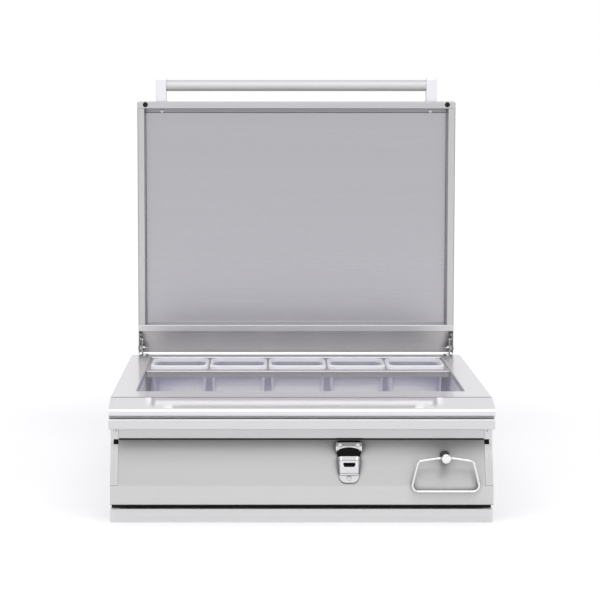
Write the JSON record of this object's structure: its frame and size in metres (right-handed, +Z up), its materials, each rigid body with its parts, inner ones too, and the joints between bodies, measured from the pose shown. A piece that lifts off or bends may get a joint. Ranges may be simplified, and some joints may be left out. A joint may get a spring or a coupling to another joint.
{
  "type": "bar sink with ice bin",
  "caption": "Insulated stainless bar ice bin with hinged lid, lift-out condiment rack, sloped front with bottle opener and towel ring.",
  "frame": {"origin": "middle of the base pan's underside", "axes": "+X to the right, -Y towards the user, +Z up"},
  "size_m": [0.762, 0.6785, 0.8864],
  "materials": {
    "deck_steel": "polished satin stainless sheet",
    "casing_steel": "satin stainless sheet",
    "bin_steel": "satin stainless sheet",
    "lid_steel": "satin stainless sheet",
    "lid_panel_steel": "fine brushed stainless sheet",
    "rack_steel": "satin stainless sheet",
    "container_plastic": "translucent white moulded plastic",
    "foam": "rigid insulating foam, closed in",
    "hinge_steel": "formed stainless plate",
    "fastener_steel": "bright stainless screws",
    "bush_nylon": "plain white nylon",
    "black_rubber": "matt black rubber",
    "handle_chrome": "bright polished",
    "ring_chrome": "bright polished",
    "opener_steel": "polished casting"
  },
  "bodies": {
    "base": {"top_deck": "deck_steel", "front_rail": "deck_steel", "apron": "deck_steel", "upper_channel": "deck_steel", "front_panel": "deck_steel", "side_stile_left": "deck_steel", "side_stile_right": "deck_steel", "bottom_trim": "deck_steel", "outer_housing": "casing_steel", "bottom_pan": "casing_steel", "ice_bin": "bin_steel", "drain_body": "bin_steel", "drain_locknut": "bin_steel", "insulation": "foam", "drain_gasket": "black_rubber", "rack_ledge_left": "rack_steel", "rack_ledge_right": "rack_steel", "hinge_bracket_left": "hinge_steel", "hinge_bracket_right": "hinge_steel", "hinge_pin_left": "fastener_steel", "hinge_pin_right": "fastener_steel", "hinge_nut_left": "fastener_steel", "hinge_nut_right": "fastener_steel", "hinge_bush_left": "bush_nylon", "hinge_bush_right": "bush_nylon", "hinge_foot_screws": "fastener_steel", "opener_screws": "fastener_steel", "stile_screws": "fastener_steel", "bottle_opener": "opener_steel", "towel_ring_post": "ring_chrome", "towel_ring_rosette": "ring_chrome", "toe_seal": "black_rubber", "stile_seals": "black_rubber"},
    "lid": {"lid_skin": "lid_steel", "lid_front_rail": "lid_steel", "lid_rear_rail": "lid_steel", "lid_stile_left": "lid_steel", "lid_stile_right": "lid_steel", "lid_liner": "lid_panel_steel", "lid_insulation": "foam", "handle_tube": "handle_chrome", "handle_post_left": "handle_chrome", "handle_post_right": "handle_chrome", "handle_screws": "fastener_steel", "liner_screws": "fastener_steel", "lid_bumper_left": "black_rubber", "lid_bumper_right": "black_rubber", "hinge_leaf_left": "hinge_steel", "hinge_leaf_right": "hinge_steel", "leaf_rivets_left": "fastener_steel", "leaf_rivets_right": "fastener_steel"},
    "rack": {"condiment_rack": "rack_steel"},
    "towel_ring": {"towel_ring": "ring_chrome"},
    "strainer": {"drain_strainer": "bin_steel"},
    "container_1": {"condiment_container_1": "container_plastic"},
    "container_2": {"condiment_container_2": "container_plastic"},
    "container_3": {"condiment_container_3": "container_plastic"},
    "container_4": {"condiment_container_4": "container_plastic"},
    "container_5": {"condiment_container_5": "container_plastic"}
  },
  "joints": [
    {"name": "lid_hinge", "type": "hinge", "parent": "base", "child": "lid", "pos_m": [0, 0.307, 0.264], "axis": [-1, 0, 0], "range_deg": [-90, 0]},
    {"name": "rack_lift", "type": "slide", "parent": "base", "child": "rack", "axis": [0, 0, 1], "range_m": [0, 0.15]},
    {"name": "towel_ring_swing", "type": "hinge", "parent": "base", "child": "towel_ring", "pos_m": [0.2847, -0.328, 0.13447], "axis": [-1, 0, 0], "range_deg": [-2, 90]},
    {"name": "strainer_lift", "type": "slide", "parent": "base", "child": "strainer", "axis": [0, 0, 1], "range_m": [0, 0.15]},
    {"name": "container_1_lift", "type": "slide", "parent": "rack", "child": "container_1", "axis": [0, 0, 1], "range_m": [0, 0.12]},
    {"name": "container_2_lift", "type": "slide", "parent": "rack", "child": "container_2", "axis": [0, 0, 1], "range_m": [0, 0.12]},
    {"name": "container_3_lift", "type": "slide", "parent": "rack", "child": "container_3", "axis": [0, 0, 1], "range_m": [0, 0.12]},
    {"name": "container_4_lift", "type": "slide", "parent": "rack", "child": "container_4", "axis": [0, 0, 1], "range_m": [0, 0.12]},
    {"name": "container_5_lift", "type": "slide", "parent": "rack", "child": "container_5", "axis": [0, 0, 1], "range_m": [0, 0.12]}
  ]
}
